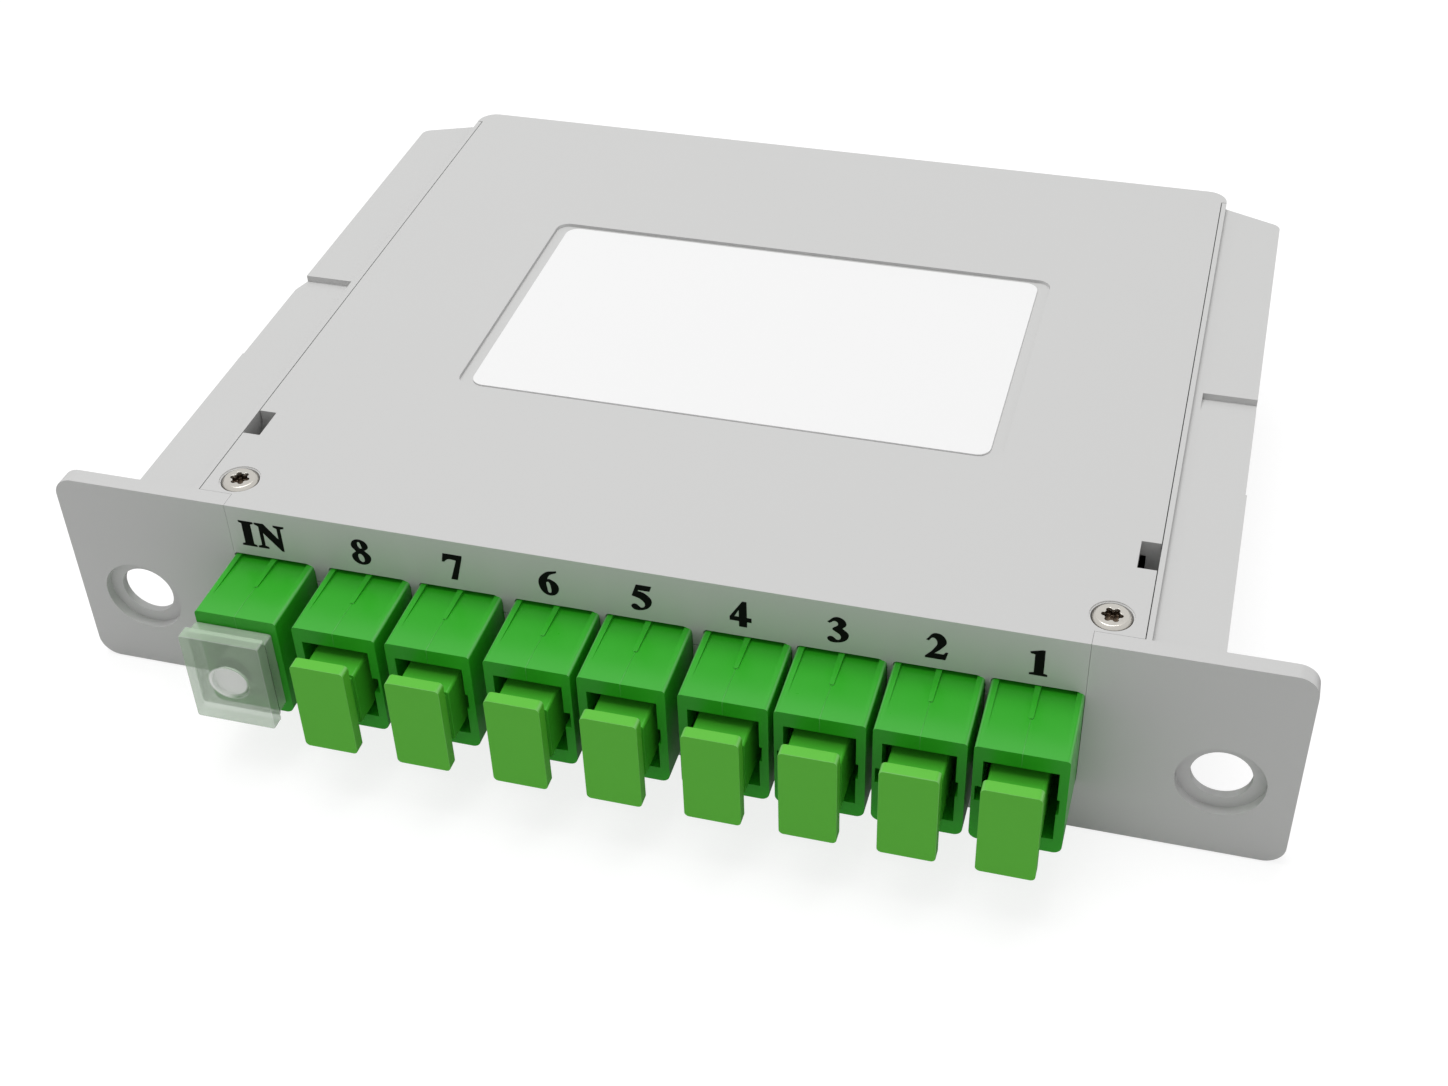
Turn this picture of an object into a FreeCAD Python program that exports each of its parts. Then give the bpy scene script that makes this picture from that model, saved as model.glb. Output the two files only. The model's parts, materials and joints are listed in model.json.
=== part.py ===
import FreeCAD, Part
import Sketcher
import math
import os
from types import SimpleNamespace

# Plug-in fibre splitter box: a shallow moulded tray with a front panel, two ears and two
# guide wings, a cover plate with a label, and a row of nine square fibre adapters with caps.
# X runs to the right, Y to the rear and Z up. The tray stands on Z = 0. The pieces are drawn
# with the panel's front face at Y = 0, and each Placement then moves them so that the origin
# is the middle of the whole object's footprint.

SIZES = {
    # Heights of the front: strip under the adapters, adapters, strip over them
    "port_floor": 5.9,
    "adapter_height": 12.4,
    "head_strip": 6.4,
    # Front panel and ears
    "panel_thickness": 1.9,
    "ear_reach": 15.6,
    "ear_corner": 2.2,
    "ear_hole_reach": 8.3,
    "ear_hole_height": 9.7,
    "ear_hole_diameter": 6.0,
    "ear_recess_diameter": 8.8,
    "ear_recess_depth": 1.05,
    # Row of slots, with the web to the right of each slot
    "row_offset": -0.525,
    "web_in_8": 1.65,
    "web_8_7": 1.0,
    "web_7_6": 1.35,
    "web_6_5": 0.6,
    "web_5_4": 1.15,
    "web_4_3": 0.45,
    "web_3_2": 0.55,
    "web_2_1": 0.5,
    "slot_clearance": 0.05,
    "slot_head_clearance": 0.15,
    "slot_left_corner": 0.4,
    "slot_right_corner": 1.0,
    "tooth_length": 2.25,
    # Tray
    "side_margin": 4.825,
    "wall": 2.0,
    "floor": 1.6,
    "body_corner": 2.3,
    "lip": 0.55,
    "seam": 0.1,
    "hairline": 0.03,
    # Guide wings
    "wing_reach": 6.73,
    "wing_drop": 0.75,
    "wing_thickness": 2.0,
    "wing_front_flare": 0.14,
    "wing_flare_end": 27.1,
    "wing_rear_inset": 2.6,
    "wing_rear_slant": 2.7,
    "wing_corner": 1.2,
    "detent_inset": 0.9,
    "detent_rear": 44.2,
    "detent_ramp": 3.2,
    "detent_depth": 0.8,
    # Ribs that hold the adapters
    "cross_rib": 1.2,
    "rear_rib_setback": 7.8,
    # Cover
    "cover_thickness": 1.8,
    "window_inset": 2.6,
    "window_front": 12.1,
    "window_length": 4.2,
    "window_depth": 9.0,
    "label_offset": 0.7,
    "label_middle": 44.0,
    "label_width": 58.2,
    "label_length": 34.4,
    "label_corner": 1.5,
    "label_thickness": 0.2,
    "label_side_margin": 1.38,
    "label_end_margin": 0.55,
    "label_recess_depth": 0.4,
    # Cover screws
    "screw_inset": 4.02,
    "screw_setback": 4.47,
    "screw_head_diameter": 3.9,
    "screw_head_height": 1.1,
    "screw_head_chamfer": 0.35,
    "screw_shank_diameter": 2.0,
    "screw_shank_length": 3.6,
    "screw_recess_clearance": 0.1,
    "screw_rim_width": 0.14,
    "screw_rim_depth": 0.15,
    "screw_rise": 0.15,
    "screw_drive_radius": 0.78,
    "screw_drive_lobe": 0.28,
    "screw_drive_depth": 0.8,
    "boss_margin": 1.2,
    # Adapters
    "adapter_width": 9.0,
    "adapter_front_reach": 9.35,
    "adapter_top_corner": 0.4,
    "adapter_bottom_corner": 0.9,
    "adapter_side_wall": 0.925,
    "adapter_end_wall": 1.8,
    "adapter_web": 1.5,
    "adapter_strip": 0.75,
    "adapter_step": 0.4,
    "adapter_step_run": 6.8,
    "adapter_rib_length": 4.5,
    "adapter_rib_width": 0.65,
    "adapter_rib_tip": 0.45,
    "adapter_rib_depth": 0.6,
    "collar_thickness": 2.05,
    "collar_rise": 1.0,
    "collar_clearance": 0.1,
    "keyway_height": 1.95,
    "keyway_length": 6.5,
    "keyway_skin": 0.3,
    "key_relief": 0.25,
    # Sleeve, its holder and the ferrule
    "ferrule_diameter": 2.5,
    "ferrule_clearance": 0.03,
    "sleeve_wall": 0.35,
    "sleeve_length": 11.4,
    "sleeve_slit": 0.5,
    "holder_clearance": 0.05,
    "holder_wall": 0.3,
    "holder_length": 17.0,
    "holder_flange": 0.7,
    # Dust caps of the eight outlets
    "cap_side_gap": 0.825,
    "cap_end_gap": 1.15,
    "cap_stem_corner": 0.3,
    "cap_plate_front": 14.0,
    "cap_plate_thickness": 1.35,
    "cap_plate_side_lip": 0.12,
    "cap_plate_end_lip": 2.25,
    "cap_plate_corner": 0.5,
    "cap_neck_length": 1.0,
    "cap_neck_depth": 0.3,
    "cap_insertion": 7.0,
    "cap_bore_clearance": 0.35,
    "cap_bore_end": 1.2,
    # Sideways play that each outlet's cap has taken up in its socket
    "cap_play_8": 0.2,
    "cap_play_7": 0.2,
    "cap_play_6": 0.1,
    "cap_play_5": 0.2,
    "cap_play_4": 0.0,
    "cap_play_3": -0.07,
    "cap_play_2": -0.09,
    "cap_play_1": -0.2,
    # Clear cap of the inlet
    "clear_cap_front": 12.7,
    "clear_cap_plate": 1.55,
    "clear_cap_width": 8.8,
    "clear_cap_height": 11.1,
    "clear_cap_corner": 0.3,
    "clear_cap_offset": 0.38,
    "clear_cap_collar_inset": 0.1,
    "clear_cap_collar_drop": 0.75,
    "clear_cap_seat_gap": 0.1,
    "clear_cap_side_gap": 0.35,
    "clear_cap_end_gap": 0.3,
    "clear_cap_dimple": 4.0,
    "clear_cap_dimple_depth": 0.5,
    # Connectors plugged in from inside the tray
    "plug_clearance": 0.1,
    "plug_depth_gap": 0.4,
    "plug_tail": 7.0,
    "plug_bore_clearance": 0.9,
    "plug_bore_depth": 8.5,
    "boot_length": 9.0,
    "boot_diameter": 4.2,
    "boot_end_diameter": 2.3,
    # Wound fibre, splitter module and their holders in the tray
    "lead_room": 13.0,
    "lead_diameter": 0.9,
    "lead_knee": 3.4,
    "lead_slope": 45.0,
    "lead_seat_gap": 0.05,
    "coil_radius": 18.0,
    "coil_width": 3.0,
    "coil_height": 4.0,
    "coil_side_gap": 1.4,
    "coil_rear_gap": 4.6,
    "hub_clearance": 0.2,
    "hub_wall": 1.2,
    "hub_height": 8.0,
    "hub_gate": 4.0,
    "module_length": 60.0,
    "module_width": 7.0,
    "module_height": 4.0,
    "module_clearance": 0.1,
    "clip_length": 12.0,
    "clip_spacing": 36.0,
    "clip_height": 5.0,
}

doc = FreeCAD.newDocument("fibre_splitter")
sheet = doc.addObject("Spreadsheet::Sheet", "dims")
cells = []


def set_cell(alias, content):
    cells.append(alias)
    row = len(cells)
    sheet.set(f"A{row}", alias)
    sheet.set(f"B{row}", content)
    sheet.setAlias(f"B{row}", alias)


for size_name, size_number in SIZES.items():
    set_cell(size_name, str(size_number))
doc.recompute()


class Size:
    """A length with its number and the sheet formula that gives it."""

    def __init__(self, number, formula):
        self.number = number
        self.formula = formula

    def __add__(self, other):
        return Size(self.number + number_of(other), f"({self.formula} + {formula_of(other)})")

    def __sub__(self, other):
        return Size(self.number - number_of(other), f"({self.formula} - {formula_of(other)})")

    def __rsub__(self, other):
        return Size(number_of(other) - self.number, f"({formula_of(other)} - {self.formula})")

    def __mul__(self, other):
        return Size(self.number * number_of(other), f"({self.formula} * {formula_of(other)})")

    def __truediv__(self, other):
        return Size(self.number / number_of(other), f"({self.formula} / {formula_of(other)})")

    def __neg__(self):
        return Size(-self.number, f"(0 - {self.formula})")

    __radd__ = __add__
    __rmul__ = __mul__


def number_of(value):
    return value.number if isinstance(value, Size) else float(value)


def formula_of(value):
    return value.formula if isinstance(value, Size) else repr(float(value))


d = SimpleNamespace(**{alias: Size(sheet.get(alias), f"dims.{alias}") for alias in SIZES})


def derive(alias, size):
    """Writes a size that follows from others into the sheet, as a formula."""
    set_cell(alias, "=" + size.formula.replace("dims.", ""))
    return Size(size.number, f"dims.{alias}")


# Sizes that follow from the driving ones
panel_height = derive("panel_height", d.port_floor + d.adapter_height + d.head_strip)
slot_width = derive("slot_width", d.adapter_width + 2 * d.slot_clearance)
webs = [d.web_in_8, d.web_8_7, d.web_7_6, d.web_6_5, d.web_5_4, d.web_4_3, d.web_3_2, d.web_2_1]
row_width = derive("row_width", sum(webs, 9 * slot_width))
row_left = derive("row_left", d.row_offset - row_width / 2)
row_right = derive("row_right", d.row_offset + row_width / 2)
body_half = derive("body_half", row_width / 2 + d.side_margin)
panel_half = derive("panel_half", body_half + d.ear_reach)
inner_half = derive("inner_half", body_half - d.wall)
seat_half = derive("seat_half", body_half - d.lip)
cover_underside = derive("cover_underside", panel_height - d.cover_thickness)

adapter_top = derive("adapter_top", d.port_floor + d.adapter_height)
adapter_middle = derive("adapter_middle", d.port_floor + d.adapter_height / 2)
adapter_front = derive("adapter_front", -d.adapter_front_reach)
collar_front = derive("collar_front", d.panel_thickness + d.collar_clearance)
collar_rear = derive("collar_rear", collar_front + d.collar_thickness)
adapter_centre = derive("adapter_centre", (collar_front + collar_rear) / 2)
adapter_rear = derive("adapter_rear", 2 * adapter_centre + d.adapter_front_reach)
web_front = derive("web_front", adapter_centre - d.adapter_web / 2)
web_rear = derive("web_rear", adapter_centre + d.adapter_web / 2)
socket_half_width = derive("socket_half_width", d.adapter_width / 2 - d.adapter_side_wall)
socket_half_height = derive("socket_half_height", d.adapter_height / 2 - d.adapter_end_wall)
slot_head = derive("slot_head", adapter_top + d.slot_head_clearance)
divider_top = derive("divider_top", slot_head - d.tooth_length)

front_rib_face = derive("front_rib_face", collar_rear + d.collar_clearance)
rear_rib_face = derive("rear_rib_face", front_rib_face + d.rear_rib_setback)
dividers_end = derive("dividers_end", rear_rib_face + d.cross_rib)

ferrule_radius = derive("ferrule_radius", d.ferrule_diameter / 2 - d.ferrule_clearance)
sleeve_inner = derive("sleeve_inner", d.ferrule_diameter / 2)
sleeve_outer = derive("sleeve_outer", sleeve_inner + d.sleeve_wall)
holder_inner = derive("holder_inner", sleeve_outer + d.holder_clearance)
holder_outer = derive("holder_outer", holder_inner + d.holder_wall)

plug_front = derive("plug_front", web_rear + d.plug_depth_gap)
plug_rear = derive("plug_rear", adapter_rear + d.plug_tail)
boot_end = derive("boot_end", plug_rear + d.boot_length)
coil_middle = derive("coil_middle", boot_end + d.lead_room + d.coil_radius)
body_depth = derive("body_depth", coil_middle + d.coil_radius + d.coil_rear_gap + d.wall)
coil_straight = derive("coil_straight", inner_half - d.coil_side_gap - d.coil_radius)
coil_inner = derive("coil_inner", d.coil_radius - d.coil_width)
hub_outer = derive("hub_outer", coil_inner - d.hub_clearance)

screw_x = derive("screw_x", body_half - d.screw_inset)
screw_head_top = derive("screw_head_top", panel_height + d.screw_rise)
screw_seat = derive("screw_seat", screw_head_top - d.screw_head_height)
boss_bottom = derive("boss_bottom", adapter_top + d.collar_rise + 3 * d.collar_clearance)
lip_end = derive("lip_end", body_depth - d.body_corner - 2 * d.seam)

wing_top = derive("wing_top", panel_height - d.wing_drop)
wing_half = derive("wing_half", body_half + d.wing_reach)
label_floor = derive("label_floor", panel_height - d.label_recess_depth)

shift_y = derive("shift_y", (d.cap_plate_front - body_depth) / 2)


def ports():
    """The nine ports from left to right: name, centre line and side of the keyway."""
    names = ["in", "8", "7", "6", "5", "4", "3", "2", "1"]
    key_sides = [-1, 1, -1, 1, -1, -1, -1, -1, -1]
    left = row_left
    found = []
    for name, side, web in zip(names, key_sides, webs + [0]):
        right = derive(f"slot_right_{name}", left + slot_width)
        middle = derive(f"port_middle_{name}", left + slot_width / 2)
        found.append(SimpleNamespace(name=name, left=left, right=right, x=middle, key=side))
        left = derive(f"slot_left_after_{name}", right + web)
    return found


PORTS = ports()


def bind(obj, path, size):
    obj.setExpression(path, formula_of(size))


def place(obj):
    """Moves a piece from the panel's frame to the object's frame."""
    bind(obj, "Placement.Base.y", shift_y)


def origin_plane(body, plane):
    return next(item for item in body.Origin.OriginFeatures if item.Role == f"{plane}_Plane")


class Drawing:
    """A sketch on one origin plane of a body, with every corner held by sizes."""

    def __init__(self, body, plane, name, offset):
        self.sketch = body.newObject("Sketcher::SketchObject", name)
        self.sketch.AttachmentSupport = (origin_plane(body, plane), "")
        self.sketch.MapMode = "FlatFace"
        # The XZ plane's own axis points to the front
        bind(self.sketch, "AttachmentOffset.Base.z", -1 * offset if plane == "XZ" else offset)
        self.curves = []
        self.helpers = []
        self.rules = []
        self.formulas = {}

    def add_curve(self, curve, helper=False):
        self.curves.append((curve, helper))
        return len(self.curves) - 1

    def add_rule(self, *parts, size=None):
        values = parts if size is None else parts + (number_of(size),)
        if size is not None:
            self.formulas[len(self.rules)] = size
        self.rules.append(Sketcher.Constraint(*values))

    def pin(self, curve, point, x, y):
        self.add_rule("DistanceX", -1, 1, curve, point, size=x)
        self.add_rule("DistanceY", -1, 1, curve, point, size=y)

    def loop(self, corners):
        """Closed outline through corners (x, y) or rounded corners (x, y, radius)."""
        count = len(corners)
        spots = [FreeCAD.Vector(number_of(c[0]), number_of(c[1]), 0) for c in corners]
        radii = [number_of(c[2]) if len(c) > 2 else 0 for c in corners]
        arrivals, departures, centres = [], [], []
        for index, spot in enumerate(spots):
            back = (spots[index - 1] - spot).normalize()
            ahead = (spots[(index + 1) % count] - spot).normalize()
            half_angle = back.getAngle(ahead) / 2
            run = radii[index] / math.tan(half_angle)
            arrivals.append(spot + back * run)
            departures.append(spot + ahead * run)
            middle = (back + ahead).normalize() if radii[index] else back
            centres.append(spot + middle * (radii[index] / math.sin(half_angle)))
        lines = []
        for index in range(count):
            end = arrivals[(index + 1) % count]
            lines.append(self.add_curve(Part.LineSegment(departures[index], end)))
        for index, corner in enumerate(corners):
            before, after = lines[index - 1], lines[index]
            if not radii[index]:
                self.add_rule("Coincident", before, 2, after, 1)
                self.pin(after, 1, corner[0], corner[1])
                continue
            back = arrivals[index] - centres[index]
            ahead = departures[index] - centres[index]
            turns_left = back.cross(ahead).z > 0
            first, last = (back, ahead) if turns_left else (ahead, back)
            circle = Part.Circle(centres[index], FreeCAD.Vector(0, 0, 1), radii[index])
            start = math.atan2(first.y, first.x)
            stop = math.atan2(last.y, last.x)
            arc = self.add_curve(Part.ArcOfCircle(circle, start, stop))
            vertex = self.add_curve(Part.Point(spots[index]), helper=True)
            self.add_rule("Tangent", before, 2, arc, 1 if turns_left else 2)
            self.add_rule("Tangent", after, 1, arc, 2 if turns_left else 1)
            self.add_rule("Radius", arc, size=corner[2])
            self.add_rule("PointOnObject", vertex, 1, before)
            self.add_rule("PointOnObject", vertex, 1, after)
            self.pin(vertex, 1, corner[0], corner[1])
        return self

    def box(self, left, right, low, high, radius=None):
        spots = [(left, low), (right, low), (right, high), (left, high)]
        return self.loop([spot + (radius,) for spot in spots] if radius is not None else spots)

    def circle(self, x, y, radius):
        middle = FreeCAD.Vector(number_of(x), number_of(y), 0)
        ring = Part.Circle(middle, FreeCAD.Vector(0, 0, 1), number_of(radius))
        curve = self.add_curve(ring)
        self.pin(curve, 3, x, y)
        self.add_rule("Radius", curve, size=radius)
        return self

    def racetrack(self, half_length, y, radius):
        """Oval of two straights and two half circles about the middle line."""
        length, level, bend = number_of(half_length), number_of(y), number_of(radius)
        up = FreeCAD.Vector(0, 0, 1)
        right_ring = Part.Circle(FreeCAD.Vector(length, level, 0), up, bend)
        left_ring = Part.Circle(FreeCAD.Vector(-length, level, 0), up, bend)
        right = self.add_curve(Part.ArcOfCircle(right_ring, -math.pi / 2, math.pi / 2))
        left = self.add_curve(Part.ArcOfCircle(left_ring, math.pi / 2, 3 * math.pi / 2))
        top_ends = FreeCAD.Vector(length, level + bend, 0), FreeCAD.Vector(-length, level + bend, 0)
        low_ends = FreeCAD.Vector(-length, level - bend, 0), FreeCAD.Vector(length, level - bend, 0)
        top = self.add_curve(Part.LineSegment(*top_ends))
        low = self.add_curve(Part.LineSegment(*low_ends))
        self.add_rule("Tangent", right, 2, top, 1)
        self.add_rule("Tangent", top, 2, left, 1)
        self.add_rule("Tangent", left, 2, low, 1)
        self.add_rule("Tangent", low, 2, right, 1)
        self.pin(right, 3, half_length, y)
        self.pin(left, 3, -half_length, y)
        self.add_rule("Radius", right, size=radius)
        return self

    def finish(self):
        for curve, helper in self.curves:
            self.sketch.addGeometry(curve, helper)
        self.sketch.addConstraint(self.rules)
        for index, size in self.formulas.items():
            bind(self.sketch, f"Constraints[{index}]", size)
        return self.sketch


def new_body(name):
    body = doc.addObject("PartDesign::Body", name)
    body.Label = name
    place(body)
    return body


def pad(body, name, drawing, length, backward=False):
    """Pad along the sketch's axis, or against it."""
    feature = body.newObject("PartDesign::Pad", name)
    feature.Profile = drawing.finish()
    bind(feature, "Length", length)
    feature.Reversed = backward
    body.Tip = feature
    return feature


def pocket(body, name, drawing, depth, backward=False):
    """Pocket against the sketch's axis, or along it."""
    feature = body.newObject("PartDesign::Pocket", name)
    feature.Profile = drawing.finish()
    bind(feature, "Length", depth)
    feature.Reversed = backward
    body.Tip = feature
    return feature


def make_base_tray():
    """Moulded tray: shell, panel with ears, guide wings, adapter comb, bosses and fibre hub."""
    body = new_body("base_tray")

    plan = Drawing(body, "XY", "shell_plan", 0)
    plan.loop([
        (-body_half, 0),
        (body_half, 0),
        (body_half, body_depth, d.body_corner),
        (-body_half, body_depth, d.body_corner),
    ])
    pad(body, "shell", plan, panel_height)

    face = Drawing(body, "XZ", "panel_face", 0)
    face.box(-panel_half, panel_half, 0, panel_height, d.ear_corner)
    pad(body, "panel", face, d.panel_thickness, backward=True)

    wings = Drawing(body, "XY", "wing_plan", wing_top - d.wing_thickness)
    root = body_half - d.wall / 2
    rear = body_depth - d.wing_rear_inset
    flared = wing_half + d.wing_front_flare
    for side in (1, -1):
        wings.loop([
            (side * root, d.panel_thickness / 2),
            (side * flared, d.panel_thickness / 2),
            (side * flared, d.wing_flare_end),
            (side * wing_half, d.wing_flare_end),
            (side * wing_half, rear - d.wing_rear_slant, d.wing_corner),
            (side * body_half, rear),
            (side * root, rear),
        ])
    pad(body, "wings", wings, d.wing_thickness)

    cavity = Drawing(body, "XY", "cavity_plan", panel_height)
    cavity.loop([
        (-inner_half, d.panel_thickness),
        (inner_half, d.panel_thickness),
        (inner_half, body_depth - d.wall, d.body_corner - d.wall),
        (-inner_half, body_depth - d.wall, d.body_corner - d.wall),
    ])
    pocket(body, "cavity", cavity, panel_height - d.floor)

    beyond = 1
    seat = Drawing(body, "XY", "seat_plan", panel_height)
    seat.loop([
        (-seat_half, d.panel_thickness),
        (seat_half, d.panel_thickness),
        (seat_half, lip_end),
        (body_half + d.seam, lip_end),
        (body_half + d.seam, body_depth + beyond),
        (-body_half - d.seam, body_depth + beyond),
        (-body_half - d.seam, lip_end),
        (-seat_half, lip_end),
    ])
    pocket(body, "cover_seat", seat, d.cover_thickness)

    opening = Drawing(body, "XZ", "comb_opening", 0)
    opening.box(row_left, row_right, divider_top, panel_height + beyond)
    pocket(body, "comb_mouth", opening, d.panel_thickness)

    slots = Drawing(body, "XZ", "slot_faces", 0)
    for port in PORTS:
        slots.loop([
            (port.left, d.port_floor, d.adapter_bottom_corner),
            (port.right, d.port_floor, d.adapter_bottom_corner),
            (port.right, divider_top + beyond),
            (port.left, divider_top + beyond),
        ])
    pocket(body, "slots", slots, d.panel_thickness)

    make_tray_ears(body)
    make_tray_detents(body)
    make_adapter_holders(body)
    make_screw_bosses(body)
    make_fibre_hub(body)
    return body


def make_tray_ears(body):
    hole_x = body_half + d.ear_hole_reach
    holes = Drawing(body, "XZ", "ear_hole_face", 0)
    recesses = Drawing(body, "XZ", "ear_recess_face", 0)
    for side in (1, -1):
        holes.circle(side * hole_x, d.ear_hole_height, d.ear_hole_diameter / 2)
        recesses.circle(side * hole_x, d.ear_hole_height, d.ear_recess_diameter / 2)
    pocket(body, "ear_recesses", recesses, d.ear_recess_depth)
    pocket(body, "ear_holes", holes, d.panel_thickness)


def make_tray_detents(body):
    """A wedge cut in each wing's top, steep at its rear."""
    over = 1
    for side in (1, -1):
        wedge = Drawing(body, "YZ", "detent_side", side * (body_half + d.detent_inset))
        wedge.loop([
            (d.detent_rear - d.detent_ramp, wing_top),
            (d.detent_rear, wing_top - d.detent_depth),
            (d.detent_rear, wing_top + over),
            (d.detent_rear - d.detent_ramp, wing_top + over),
        ])
        pocket(body, "detent", wedge, d.wing_reach, backward=side > 0)


def make_adapter_holders(body):
    """Upright dividers between the adapters, and two cross ribs under them."""
    dividers = Drawing(body, "XY", "divider_plan", d.floor)
    edges = [(row_left - d.cross_rib, row_left)]
    edges += [(port.right, port.right + web) for port, web in zip(PORTS, webs)]
    edges += [(row_right, row_right + d.cross_rib)]
    for left, right in edges:
        dividers.box(left, right, d.panel_thickness, dividers_end)
    pad(body, "dividers", dividers, divider_top - d.floor)

    ribs = Drawing(body, "XY", "cross_rib_plan", d.floor)
    for front in (front_rib_face, rear_rib_face):
        ribs.box(row_left, row_right, front, front + d.cross_rib)
    pad(body, "cross_ribs", ribs, d.port_floor - d.floor)


def make_screw_bosses(body):
    """Blocks over the outer adapters' ends, tied to the panel and the side walls."""
    blocks = Drawing(body, "XY", "boss_plan", boss_bottom)
    holes = Drawing(body, "XY", "boss_hole_plan", cover_underside)
    reach = d.screw_shank_diameter / 2 + d.boss_margin
    for side in (1, -1):
        ends = [side * (screw_x - reach), side * (body_half - d.wall / 2)]
        blocks.box(ends[0], ends[1], d.panel_thickness, d.screw_setback + reach)
        holes.circle(side * screw_x, d.screw_setback, d.screw_shank_diameter / 2 + d.holder_clearance)
    pad(body, "screw_bosses", blocks, cover_underside - boss_bottom)
    pocket(body, "screw_holes", holes, cover_underside - boss_bottom)

    niches = Drawing(body, "XY", "niche_plan", cover_underside)
    window_rear = d.window_front + d.window_length
    for side in (1, -1):
        niches.box(side * (inner_half - d.seam), side * seat_half, d.window_front, window_rear)
    pocket(body, "window_niches", niches, d.window_depth)


def make_fibre_hub(body):
    """Oval wall that the fibre is wound around, and clips for the splitter module in it."""
    hub = Drawing(body, "XY", "hub_plan", d.floor)
    hub.racetrack(coil_straight, coil_middle, hub_outer)
    hub.racetrack(coil_straight, coil_middle, hub_outer - d.hub_wall)
    pad(body, "fibre_hub", hub, d.hub_height)

    gates = Drawing(body, "XY", "gate_plan", d.floor + d.hub_height)
    hub_end = coil_straight + hub_outer
    for side in (1, -1):
        ends = [side * (hub_end - 2 * d.hub_wall), side * (hub_end + d.hub_clearance)]
        gates.box(ends[0], ends[1], coil_middle - d.hub_gate / 2, coil_middle + d.hub_gate / 2)
    pocket(body, "hub_gates", gates, d.hub_height)

    clips = Drawing(body, "XY", "clip_plan", d.floor)
    near = d.module_width / 2 + d.module_clearance
    for side in (1, -1):
        middle = side * d.clip_spacing / 2
        for face in (1, -1):
            faces = [coil_middle + face * near, coil_middle + face * (near + d.hub_wall)]
            clips.box(middle - d.clip_length / 2, middle + d.clip_length / 2, faces[0], faces[1])
    pad(body, "module_clips", clips, d.clip_height)


def make_top_cover():
    """Cover plate with an apron that closes the comb, label recess, windows and ribs."""
    body = new_body("top_cover")
    edge = seat_half - d.seam
    left = row_left + d.hairline
    right = row_right - d.hairline
    front = d.panel_thickness + d.hairline
    corner_start = lip_end + d.seam

    plate = Drawing(body, "XY", "cover_plan", cover_underside)
    plate.loop([
        (left, 0),
        (right, 0),
        (right, front),
        (edge, front),
        (edge, corner_start),
        (body_half, corner_start),
        (body_half, body_depth, d.body_corner),
        (-body_half, body_depth, d.body_corner),
        (-body_half, corner_start),
        (-edge, corner_start),
        (-edge, front),
        (left, front),
    ])
    pad(body, "plate", plate, d.cover_thickness)

    tooth_tip = divider_top + d.seam
    apron = Drawing(body, "XZ", "apron_face", 0)
    apron.box(left, right, tooth_tip, cover_underside + d.cover_thickness / 2)
    pad(body, "apron", apron, d.panel_thickness, backward=True)

    over = 1
    slots = Drawing(body, "XZ", "apron_slots", 0)
    for port in PORTS:
        slots.loop([
            (port.left, tooth_tip - over),
            (port.right, tooth_tip - over),
            (port.right, slot_head, d.slot_right_corner),
            (port.left, slot_head, d.slot_left_corner),
        ])
    pocket(body, "slot_heads", slots, d.panel_thickness)

    ribs = Drawing(body, "XY", "cover_rib_plan", adapter_top + d.collar_clearance)
    rib_half = screw_x - d.screw_head_diameter
    for face in (front_rib_face, rear_rib_face):
        ribs.box(-rib_half, rib_half, face, face + d.cross_rib)
    pad(body, "holding_ribs", ribs, cover_underside - adapter_top - d.collar_clearance)

    recess = Drawing(body, "XY", "label_recess_plan", panel_height)
    recess_half = d.label_width / 2 + d.label_side_margin
    recess_reach = d.label_length / 2 + d.label_end_margin
    recess.box(
        d.label_offset - recess_half,
        d.label_offset + recess_half,
        d.label_middle - recess_reach,
        d.label_middle + recess_reach,
        d.label_corner,
    )
    pocket(body, "label_recess", recess, d.label_recess_depth)

    windows = Drawing(body, "XY", "window_plan", panel_height)
    window_rear = d.window_front + d.window_length
    for side in (1, -1):
        ends = [side * (body_half - d.window_inset), side * (edge + over)]
        windows.box(ends[0], ends[1], d.window_front, window_rear)
    pocket(body, "windows", windows, d.cover_thickness)

    rims = Drawing(body, "XY", "head_rim_plan", panel_height)
    heads = Drawing(body, "XY", "head_recess_plan", panel_height)
    holes = Drawing(body, "XY", "screw_hole_plan", panel_height)
    head_room = d.screw_head_diameter / 2 + d.screw_recess_clearance
    hole = d.screw_shank_diameter / 2 + 2 * d.holder_clearance
    for side in (1, -1):
        rims.circle(side * screw_x, d.screw_setback, head_room + d.screw_rim_width)
        heads.circle(side * screw_x, d.screw_setback, head_room)
        holes.circle(side * screw_x, d.screw_setback, hole)
    pocket(body, "head_rims", rims, d.screw_rim_depth)
    pocket(body, "head_recesses", heads, panel_height - screw_seat)
    pocket(body, "screw_holes", holes, d.cover_thickness)
    return body


def make_blank_label():
    """Blank label that lies in the cover's recess."""
    body = new_body("blank_label")
    plan = Drawing(body, "XY", "label_plan", label_floor)
    plan.box(
        d.label_offset - d.label_width / 2,
        d.label_offset + d.label_width / 2,
        d.label_middle - d.label_length / 2,
        d.label_middle + d.label_length / 2,
        d.label_corner,
    )
    pad(body, "label_sheet", plan, d.label_thickness)
    return body


def cylinder(name, radius, height, x, y, z):
    solid = doc.addObject("Part::Cylinder", name)
    bind(solid, "Radius", radius)
    bind(solid, "Height", height)
    bind(solid, "Placement.Base.x", x)
    bind(solid, "Placement.Base.y", y)
    bind(solid, "Placement.Base.z", z)
    return solid


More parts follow.
